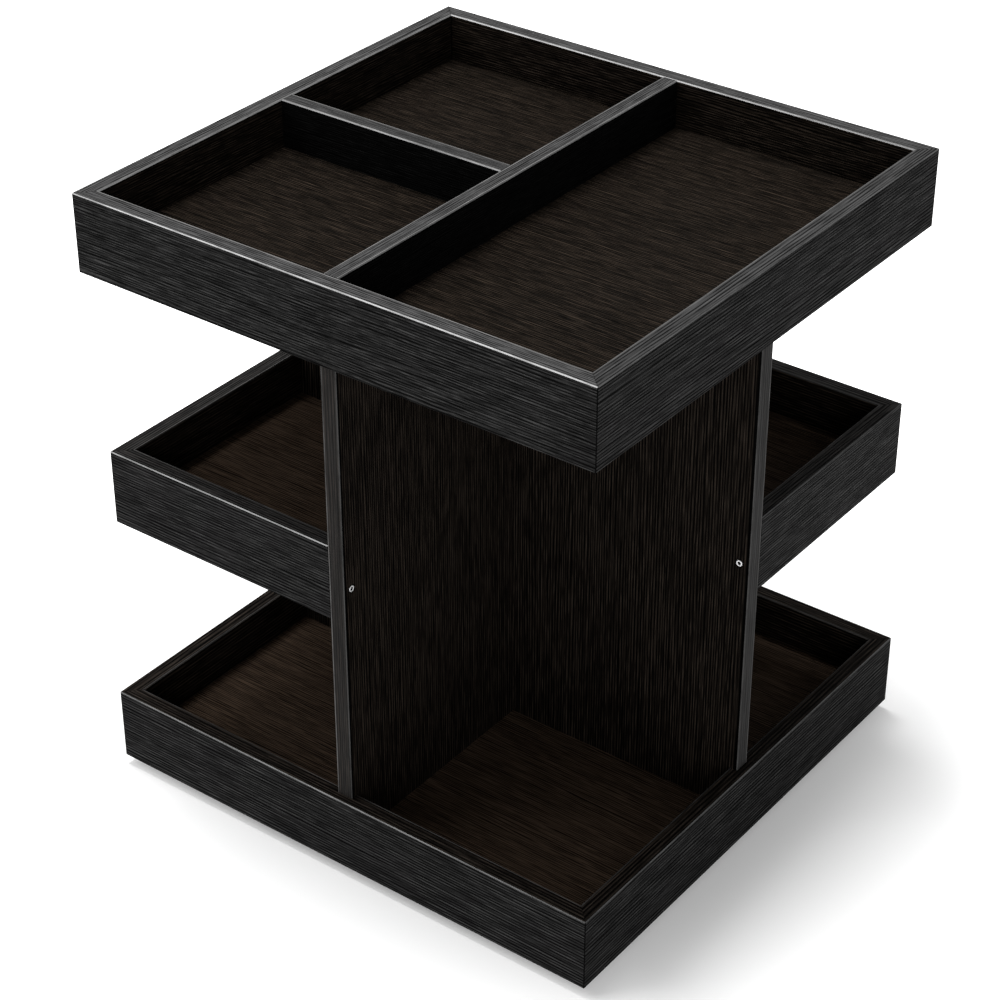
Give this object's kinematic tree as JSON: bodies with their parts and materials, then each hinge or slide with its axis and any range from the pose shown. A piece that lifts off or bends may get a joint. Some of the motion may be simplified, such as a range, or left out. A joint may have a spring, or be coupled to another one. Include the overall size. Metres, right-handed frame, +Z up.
{
  "type": "rotating cosmetics organizer",
  "caption": "Black wood carousel organizer: divided top tray on crossed panels, corner shelves and a rimmed base that turns on a ball-race swivel to hold bottles and grooming things",
  "frame": {"origin": "on the ground under the foot pads, on the turning axis", "axes": "+Z up along the turning axis; +X to the right along the floor's grain; -Y to the front, where the left corner shelf and the open front niche face"},
  "size_m": [0.262, 0.25, 0.2945],
  "materials": {
    "black_wood": "black-stained open grain, satin",
    "steel": "zinc plated",
    "cage_plastic": "natural nylon",
    "rubber": "matt black"
  },
  "bodies": {
    "foot": {"foot_pads": "rubber", "foot_disc": "black_wood", "foot_screws": "steel", "bearing_inner_ring": "steel"},
    "ball_cage": {"bearing_balls": "steel", "bearing_cage": "cage_plastic"},
    "carousel": {"base_wall_front": "black_wood", "base_wall_back": "black_wood", "base_wall_left": "black_wood", "base_wall_right": "black_wood", "base_floor": "black_wood", "panel_across": "black_wood", "panel_along": "black_wood", "left_shelf_front_wall": "black_wood", "left_shelf_side_wall": "black_wood", "left_shelf_floor": "black_wood", "right_shelf_back_wall": "black_wood", "right_shelf_side_wall": "black_wood", "right_shelf_floor": "black_wood", "top_wall_front": "black_wood", "top_wall_back": "black_wood", "top_wall_left": "black_wood", "top_wall_right": "black_wood", "top_floor": "black_wood", "long_divider": "black_wood", "short_divider": "black_wood", "shelf_screws": "steel", "tray_floor_screws": "steel", "base_floor_screws": "steel", "bearing_outer_ring": "steel", "bearing_screws": "steel"}
  },
  "joints": [
    {"name": "carousel_spin", "type": "hinge", "parent": "foot", "child": "carousel", "pos_m": [0, 0, 0], "axis": [0, 0, 1], "continuous": true},
    {"name": "ball_cage_spin", "type": "hinge", "parent": "foot", "child": "ball_cage", "pos_m": [0, 0, 0], "axis": [0, 0, 1], "continuous": true}
  ],
  "couplings": [
    {"joint": "ball_cage_spin", "follows": "carousel_spin", "ratio": 0.51088}
  ]
}
